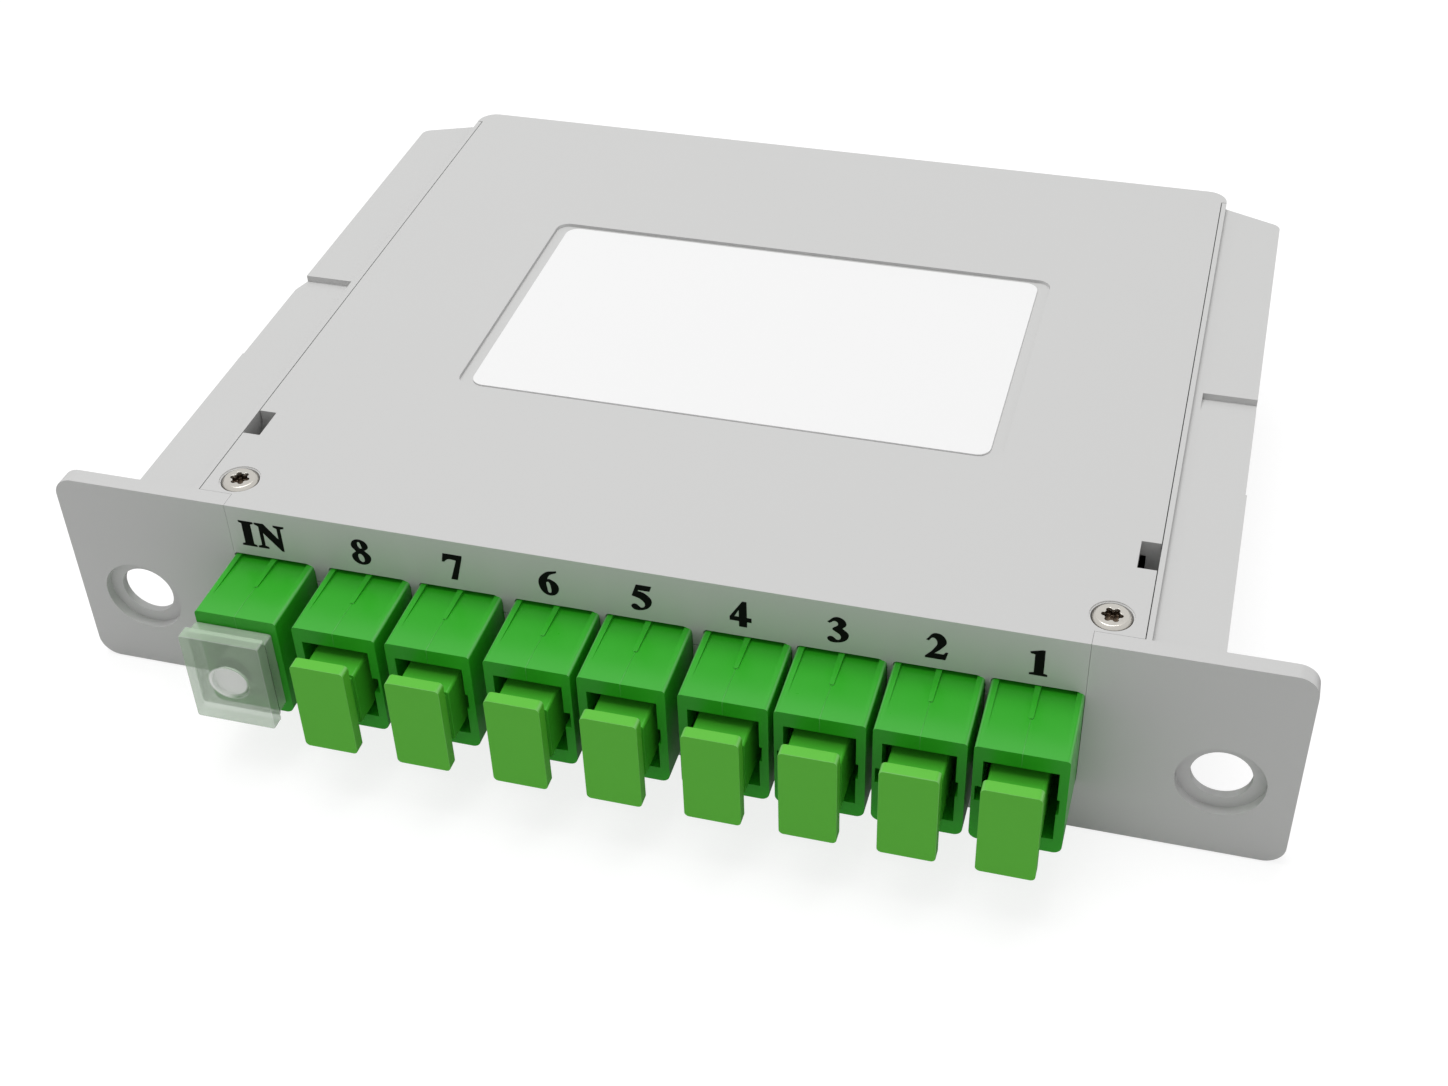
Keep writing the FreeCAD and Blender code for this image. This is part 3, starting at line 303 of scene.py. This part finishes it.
def pick(piece):
    """Makes one object the only selected and the active one."""
    bpy.ops.object.select_all(action="DESELECT")
    piece.select_set(True)
    bpy.context.view_layer.objects.active = piece


def rounded_copy(node, body, material, radius, steps=2):
    """Copy of a solid whose moulded edges get a small radius; it takes the solid's place."""
    pick(frame["nodes"][node])
    bpy.ops.object.duplicate()
    piece = bpy.context.object
    piece.parent = None
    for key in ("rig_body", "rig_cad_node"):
        if key in piece:
            del piece[key]
    piece.name = f"{node}_moulding"
    piece.data.name = piece.name
    bpy.ops.object.mode_set(mode="EDIT")
    bpy.ops.mesh.select_all(action="SELECT")
    bpy.ops.mesh.remove_doubles(threshold=WELD_DISTANCE)
    bpy.ops.mesh.dissolve_limited(angle_limit=FLAT_ANGLE)
    bpy.ops.object.mode_set(mode="OBJECT")
    rounding = piece.modifiers.new("edge_radius", "BEVEL")
    rounding.width = radius
    rounding.segments = steps
    rounding.limit_method = "ANGLE"
    rounding.angle_limit = EDGE_ANGLE
    bpy.ops.object.modifier_apply(modifier=rounding.name)
    bpy.ops.object.shade_smooth_by_angle(angle=SMOOTH_ANGLE)
    flatness = piece.modifiers.new("flat_faces", "WEIGHTED_NORMAL")
    flatness.keep_sharp = True
    bpy.ops.object.modifier_apply(modifier=flatness.name)
    piece.data.materials.clear()
    piece.data.materials.append(material)
    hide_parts(node)
    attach(piece, body)


# The rounded edges of the tray and cover get a faint painted highlight.
housing_plastic = moulded_plastic(
    "housing_grey", HOUSING_GREY, shade=0.985, roughness=0.52, pits=1500.0, bump=0.12, edge_highlight=0.15,
)
rounded_copy("base_tray", "box", housing_plastic, TRAY_RADIUS)
rounded_copy("top_cover", "box", housing_plastic, COVER_RADIUS)

# Label.
# A blank film lies in its recess in the cover, a little lighter and smoother than the plastic.
LABEL_WHITE = (0.82, 0.82, 0.82, 1.0)
LABEL_RADIUS = 0.05 * MM
label_film = moulded_plastic(
    "label_white", LABEL_WHITE, shade=0.99, roughness=0.45, pits=900.0, bump=0.03,
)
rounded_copy("blank_label", "box", label_film, LABEL_RADIUS)

# Port marks.
# The inlet and the eight outlets are marked in black serif print on the strip over the adapters.
# Each letter is a flat outline drawn with the height of a capital as its unit.
MARK_BLACK = (0.004, 0.004, 0.004, 1.0)
MARK_HEIGHT = 3.14 * MM
MARK_BASE = 19.77 * MM
MARK_THICKNESS = 0.02 * MM
MARK_WEIGHT = 0.08 * MM
# Left end of each letter along the strip, in millimetres
MARK_STARTS = {
    "I": -43.72, "N": -41.92, "8": -31.31, "7": -21.17, "6": -10.93,
    "5": -1.15, "4": 9.02, "3": 18.84, "2": 28.52, "1": 38.42,
}
# Corners are (x, y) and points on a round stretch are (x, y, True)
MARK_OUTLINES = {
    "I": [[
        (0.0, 0.0), (0.48, 0.0), (0.48, 0.03), (0.375, 0.07), (0.375, 0.93), (0.48, 0.97),
        (0.48, 1.0), (0.0, 1.0), (0.0, 0.97), (0.105, 0.93), (0.105, 0.07), (0.0, 0.03),
    ]],
    "N": [[
        (0.0, 0.0), (0.34, 0.0), (0.34, 0.03), (0.22, 0.08), (0.22, 0.7), (0.84, -0.02),
        (0.88, -0.02), (0.88, 0.92), (1.02, 0.97), (1.02, 1.0), (0.68, 1.0), (0.68, 0.97),
        (0.8, 0.92), (0.8, 0.38), (0.3, 1.0), (0.0, 1.0), (0.0, 0.97), (0.14, 0.9), (0.14, 0.08),
        (0.0, 0.03),
    ]],
    "1": [[
        (0.05, 0.0), (0.56, 0.0), (0.56, 0.03), (0.44, 0.07), (0.44, 1.0), (0.38, 1.0),
        (0.04, 0.89), (0.05, 0.86), (0.19, 0.84), (0.19, 0.07), (0.05, 0.03),
    ]],
    "2": [[
        (0.0, 0.0), (0.59, 0.0), (0.66, 0.27), (0.63, 0.27), (0.56, 0.17), (0.2, 0.17),
        (0.48, 0.47, True), (0.6, 0.73, True), (0.3, 1.0, True), (0.03, 0.72), (0.06, 0.71),
        (0.2, 0.85, True), (0.36, 0.68, True), (0.26, 0.36, True), (0.0, 0.03),
    ]],
    "3": [[
        (0.02, 0.79), (0.3, 1.0, True), (0.56, 0.79, True), (0.43, 0.58), (0.64, 0.3, True),
        (0.24, -0.01, True), (0.01, 0.09, True), (0.09, 0.18, True), (0.33, 0.06, True),
        (0.44, 0.24, True), (0.17, 0.5), (0.17, 0.53), (0.35, 0.74, True), (0.23, 0.87, True),
        (0.05, 0.77),
    ]],
    "4": [
        [
            (0.41, 1.0), (0.51, 1.0), (0.51, 0.35), (0.66, 0.35), (0.66, 0.22), (0.51, 0.22),
            (0.51, 0.0), (0.3, 0.0), (0.3, 0.22), (0.0, 0.22), (0.0, 0.34),
        ],
        [(0.09, 0.35), (0.3, 0.35), (0.3, 0.76)],
    ],
    "5": [[
        (0.19, 1.0), (0.65, 1.0), (0.59, 0.83), (0.22, 0.83), (0.19, 0.75), (0.46, 0.66, True),
        (0.64, 0.36, True), (0.24, -0.01, True), (0.0, 0.09, True), (0.09, 0.19, True),
        (0.32, 0.06, True), (0.46, 0.22, True), (0.32, 0.45, True), (0.04, 0.56),
    ]],
    "6": [
        [
            (0.61, 1.0), (0.61, 0.97), (0.37, 0.83, True), (0.26, 0.6), (0.38, 0.63, True),
            (0.65, 0.31, True), (0.34, -0.01, True), (0.02, 0.4, True), (0.26, 0.88, True),
        ],
        [(0.3, 0.56, True), (0.43, 0.3, True), (0.36, 0.05, True), (0.25, 0.3, True)],
    ],
    "7": [[
        (0.05, 1.0), (0.66, 1.0), (0.66, 0.96), (0.42, 0.0), (0.25, 0.0), (0.5, 0.82),
        (0.17, 0.82, True), (0.04, 0.7), (0.0, 0.7),
    ]],
    "8": [
        [
            (0.33, 1.0, True), (0.6, 0.78, True), (0.44, 0.57), (0.65, 0.27, True),
            (0.33, -0.01, True), (0.02, 0.25, True), (0.2, 0.5), (0.05, 0.77, True),
        ],
        [(0.3, 0.94, True), (0.41, 0.77, True), (0.38, 0.62, True), (0.23, 0.78, True)],
        [(0.28, 0.44, True), (0.46, 0.2, True), (0.36, 0.05, True), (0.2, 0.24, True)],
    ],
}
mark_ink = moulded_plastic(
    "mark_ink", MARK_BLACK, shade=0.9, roughness=0.8, pits=2500.0, bump=0.02, gloss=0.08,
)


def mesh_from(curve):
    """Mesh object made from a curve, with the curve's name."""
    piece = bpy.data.objects.new(curve.name, curve)
    bpy.context.scene.collection.objects.link(piece)
    pick(piece)
    bpy.ops.object.convert(target="MESH")
    return bpy.context.object


def printed_mark(letter):
    """One letter as a thin film of ink that stands upright on the strip's face."""
    curve = bpy.data.curves.new(f"port_mark_{letter}", "CURVE")
    curve.dimensions = "2D"
    curve.fill_mode = "BOTH"
    curve.resolution_u = 6
    curve.offset = MARK_WEIGHT
    curve.extrude = MARK_THICKNESS / 2
    for outline in MARK_OUTLINES[letter]:
        spline = curve.splines.new("BEZIER")
        spline.bezier_points.add(len(outline) - 1)
        spline.use_cyclic_u = True
        for point, corner in zip(spline.bezier_points, outline):
            point.co = (corner[0] * MARK_HEIGHT, corner[1] * MARK_HEIGHT, 0.0)
            bend = "AUTO" if len(corner) > 2 else "VECTOR"
            point.handle_left_type = bend
            point.handle_right_type = bend
    mark = mesh_from(curve)
    spot = (MARK_STARTS[letter] * MM, PANEL_FACE_Y * MM - MARK_THICKNESS / 2, MARK_BASE)
    mark.matrix_world = Matrix.Translation(spot) @ Matrix.Rotation(math.pi / 2, 4, "X")
    bpy.ops.object.transform_apply(location=True, rotation=True)
    mark.data.materials.append(mark_ink)
    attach(mark, "box")


for letter in MARK_STARTS:
    printed_mark(letter)

# Cover screws.
# Two nickel-plated pan heads with a six-lobe drive stand a little out of their recesses.
# The drive and the foot of the head get a painted shade, darker and browner than the crown.
SCREW_CROWN = (0.54, 0.52, 0.48, 1.0)
SCREW_SHADE = (0.13, 0.10, 0.075, 1.0)
SCREW_RADIUS = 0.08 * MM
# Depths under the top of the head between which the painted shade of the foot fades into the crown
CROWN_START = 0.42 * MM
CROWN_FULL = 0.30 * MM


def make_shade_depth_mask():
    """Masks for painted shade, which rise from 0 to 1 between two places, one along the Y axis and
    one along Z.
    """
    group, start, end = new_effect("shade_depth_mask", {"Start": 0.0, "Full": 1.0}, ("Along Y", "Along Z"))
    place = group.nodes.new("ShaderNodeTexCoord")
    axes = group.nodes.new("ShaderNodeSeparateXYZ")
    group.links.new(place.outputs["Object"], axes.inputs["Vector"])
    for axis in ("Y", "Z"):
        rise = group.nodes.new("ShaderNodeMapRange")
        group.links.new(axes.outputs[axis], rise.inputs["Value"])
        group.links.new(start.outputs["Start"], rise.inputs["From Min"])
        group.links.new(start.outputs["Full"], rise.inputs["From Max"])
        group.links.new(rise.outputs["Result"], end.inputs[f"Along {axis}"])
    return group


shade_depth_mask = make_shade_depth_mask()
screw_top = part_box("cover_screws")[1][2]
screw_metal = bpy.data.materials.new("screw_steel")
screw_metal.use_nodes = True
screw_tree = screw_metal.node_tree
screw_shader = screw_tree.nodes["Principled BSDF"]
screw_shader.inputs["Metallic"].default_value = 1.0
screw_shader.inputs["Roughness"].default_value = 0.25
screw_shade_mask = effect_node(screw_tree, shade_depth_mask)
screw_shade_mask.inputs["Start"].default_value = screw_top - CROWN_START
screw_shade_mask.inputs["Full"].default_value = screw_top - CROWN_FULL
# Painted shade in the drive and at the foot of the head, darker and browner than the crown
screw_shaded_tone = mixed_colour(screw_tree, screw_shade_mask.outputs["Along Z"], SCREW_SHADE, SCREW_CROWN)
screw_tree.links.new(screw_shaded_tone, screw_shader.inputs["Base Color"])
rounded_copy("cover_screws", "box", screw_metal, SCREW_RADIUS)

# Adapters.
# Nine square adapters of glossy green plastic, pushed through the panel and held by their collars.
# Inside each are a tube with a flange, a ceramic split sleeve and the plug of a rear fibre.
PORTS = ("in", "8", "7", "6", "5", "4", "3", "2", "1")
ADAPTER_GREEN = (0.026, 0.39, 0.014, 1.0)
HOLDER_CREAM = (0.75, 0.74, 0.70, 1.0)
SLEEVE_WHITE = (0.88, 0.87, 0.83, 1.0)
PLUG_GREEN = (0.05, 0.38, 0.06, 1.0)
ADAPTER_RADIUS = 0.12 * MM
# The rounded edges of the adapters get a faint painted highlight.
adapter_plastic = moulded_plastic(
    "adapter_green", ADAPTER_GREEN, shade=0.95, roughness=0.30, pits=2500.0, bump=0.05,
    clouds=120.0, edge_highlight=0.09,
)
holder_plastic = moulded_plastic(
    "holder_plastic", HOLDER_CREAM, shade=0.97, roughness=0.4, pits=2500.0, bump=0.05,
)
sleeve_ceramic = moulded_plastic(
    "zirconia", SLEEVE_WHITE, shade=0.99, roughness=0.2, pits=3000.0, bump=0.02,
)
plug_plastic = moulded_plastic(
    "plug_green", PLUG_GREEN, shade=0.95, roughness=0.45, pits=2500.0, bump=0.05,
)


def dress(node, material):
    """Gives a solid that keeps its own mesh its material."""
    solid = frame["nodes"][node]
    solid.data.materials.clear()
    solid.data.materials.append(material)


# The mould leaves a hair of flash from the rib's tip over the front edge to the socket's mouth.
# Its path gives depth from the panel's face and height, in millimetres.
FLASH_RADIUS = 0.04 * MM
FLASH_PATH = ((-4.5, 18.165), (-6.8, 18.3), (-9.28, 18.3), (-9.35, 18.23), (-9.35, 16.6))


def mould_line(port):
    """Thin line of flash along the middle of one adapter's top and front."""
    low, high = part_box(f"adapter_{port}")
    middle = (low[0] + high[0]) / 2
    curve = bpy.data.curves.new(f"mould_line_{port}", "CURVE")
    curve.dimensions = "3D"
    curve.bevel_depth = FLASH_RADIUS
    curve.bevel_resolution = 1
    spline = curve.splines.new("POLY")
    spline.points.add(len(FLASH_PATH) - 1)
    for point, (along, height) in zip(spline.points, FLASH_PATH):
        point.co = (middle, (PANEL_FACE_Y + along) * MM, height * MM, 1.0)
    line = mesh_from(curve)
    line.data.materials.append(adapter_plastic)
    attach(line, "box")


for port in PORTS:
    rounded_copy(f"adapter_{port}", "box", adapter_plastic, ADAPTER_RADIUS)
    mould_line(port)
    dress(f"sleeve_holder_{port}", holder_plastic)
    dress(f"alignment_sleeve_{port}", sleeve_ceramic)
    dress(f"inner_plug_{port}", plug_plastic)

# Dust caps of the outlets.
# Eight soft green caps, each a hollow plug with a flat plate to pull it by. The plug behind the
# plate gets a painted shade, a deeper green for the shade that falls under the adapter's overhang.
CAP_GREEN = (0.105, 0.50, 0.036, 1.0)
STEM_SHADE_GREEN = (0.055, 0.40, 0.022, 1.0)
CAP_RADIUS = 0.16 * MM
CAP_STEPS = 3
PLATE_THICKNESS = 1.35 * MM
STEM_SHADE_BLEND = 0.8 * MM
# The rounded edges of the caps get a faint painted highlight.
cap_plastic = moulded_plastic(
    "cap_green", CAP_GREEN, shade=0.97, roughness=0.38, pits=1500.0, bump=0.05,
    clouds=150.0, gloss=0.3, edge_highlight=0.10,
)
plate_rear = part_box("dust_cap_1")[0][1] + PLATE_THICKNESS
cap_tree = cap_plastic.node_tree
cap_base = cap_tree.nodes["Principled BSDF"].inputs["Base Color"]
cap_green = cap_base.links[0].from_socket
# Behind the plate the green fades into the painted shade of the plug.
stem_shade_mask = effect_node(cap_tree, shade_depth_mask)
stem_shade_mask.inputs["Start"].default_value = plate_rear
stem_shade_mask.inputs["Full"].default_value = plate_rear + STEM_SHADE_BLEND
cap_tone_with_stem_shade = mixed_colour(cap_tree, stem_shade_mask.outputs["Along Y"], cap_green, STEM_SHADE_GREEN)
cap_tree.links.new(cap_tone_with_stem_shade, cap_base)
for port in PORTS[1:]:
    rounded_copy(f"dust_cap_{port}", f"cap_{port}", cap_plastic, CAP_RADIUS, CAP_STEPS)

# Clear cap of the inlet.
# A frosted see-through cap with a wide plate, a collar that meets the adapter and a hollow plug.
# Its faces veil what lies behind, the edges more than the plate, and most at the round gate spot.
CAP_CLEAR = (0.54, 0.70, 0.52, 1.0)
GATE_MILKY = (0.92, 0.94, 0.91, 1.0)
VEIL_FACE = 0.40
VEIL_EDGE = 0.50
VEIL_GATE = 0.85
GATE_RADIUS = 2.0 * MM
GATE_BLUR = 0.1 * MM
# The rounded edges of the clear cap get a strong painted highlight.
clear_plastic = moulded_plastic(
    "cap_clear", CAP_CLEAR, shade=0.98, roughness=0.25, pits=1500.0, bump=0.04,
    clouds=150.0, edge_highlight=0.4,
)
clear_tree = clear_plastic.node_tree
clear_shader = clear_tree.nodes["Principled BSDF"]
clear_base = clear_shader.inputs["Base Color"]
clear_green = clear_base.links[0].from_socket
clear_low, clear_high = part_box("dust_cap_in")
clear_middle = [(low + high) / 2 for low, high in zip(clear_low, clear_high)]
clear_place = clear_tree.nodes.new("ShaderNodeTexCoord")
clear_axes = clear_tree.nodes.new("ShaderNodeSeparateXYZ")
clear_facing = operation_node(clear_tree, "Math", "ABSOLUTE")
clear_veil = range_node(clear_tree, {"To Min": VEIL_EDGE, "To Max": VEIL_FACE})
# Distance from the axis of the gate, which runs along Y through the middle of the cap
gate_offset = operation_node(clear_tree, "VectorMath", "SUBTRACT")
gate_offset.inputs[1].default_value = clear_middle
gate_flat = operation_node(clear_tree, "VectorMath", "MULTIPLY")
gate_flat.inputs[1].default_value = (1.0, 0.0, 1.0)
gate_distance = operation_node(clear_tree, "VectorMath", "LENGTH")
gate_limits = {"From Min": GATE_RADIUS - GATE_BLUR, "From Max": GATE_RADIUS + GATE_BLUR}
gate_outside = range_node(clear_tree, gate_limits)
gate_veil = range_node(clear_tree, {"To Min": VEIL_GATE})
gate_tone = mixed_colour(clear_tree, gate_outside.outputs["Result"], GATE_MILKY, clear_green)
clear_tree.links.new(clear_place.outputs["Normal"], clear_axes.inputs["Vector"])
clear_tree.links.new(clear_axes.outputs["Y"], clear_facing.inputs[0])
clear_tree.links.new(clear_facing.outputs[0], clear_veil.inputs["Value"])
clear_tree.links.new(clear_place.outputs["Object"], gate_offset.inputs[0])
clear_tree.links.new(gate_offset.outputs[0], gate_flat.inputs[0])
clear_tree.links.new(gate_flat.outputs[0], gate_distance.inputs[0])
clear_tree.links.new(gate_distance.outputs["Value"], gate_outside.inputs["Value"])
clear_tree.links.new(gate_outside.outputs["Result"], gate_veil.inputs["Value"])
clear_tree.links.new(clear_veil.outputs["Result"], gate_veil.inputs["To Max"])
clear_tree.links.new(gate_veil.outputs["Result"], clear_shader.inputs["Alpha"])
clear_tree.links.new(gate_tone, clear_base)
rounded_copy("dust_cap_in", "cap_in", clear_plastic, CAP_RADIUS, CAP_STEPS)

# Splitter module and fibre.
# A flat metal module in clips on the tray's floor, spare fibre wound around the oval wall, and the
# leads that join both to the plugs. All of it is out of sight under the cover.
MODULE_GREY = (0.62, 0.62, 0.62, 1.0)
JACKET_WHITE = (0.82, 0.82, 0.80, 1.0)
module_metal = bpy.data.materials.new("module_metal")
module_metal.use_nodes = True
module_shader = module_metal.node_tree.nodes["Principled BSDF"]
module_shader.inputs["Base Color"].default_value = MODULE_GREY
module_shader.inputs["Metallic"].default_value = 1.0
module_shader.inputs["Roughness"].default_value = 0.35
fibre_jacket = moulded_plastic(
    "fibre_jacket", JACKET_WHITE, shade=0.96, roughness=0.4, pits=2500.0, bump=0.03,
)
dress("splitter_module", module_metal)
dress("fibre_coil", fibre_jacket)
dress("fibre_leads", fibre_jacket)
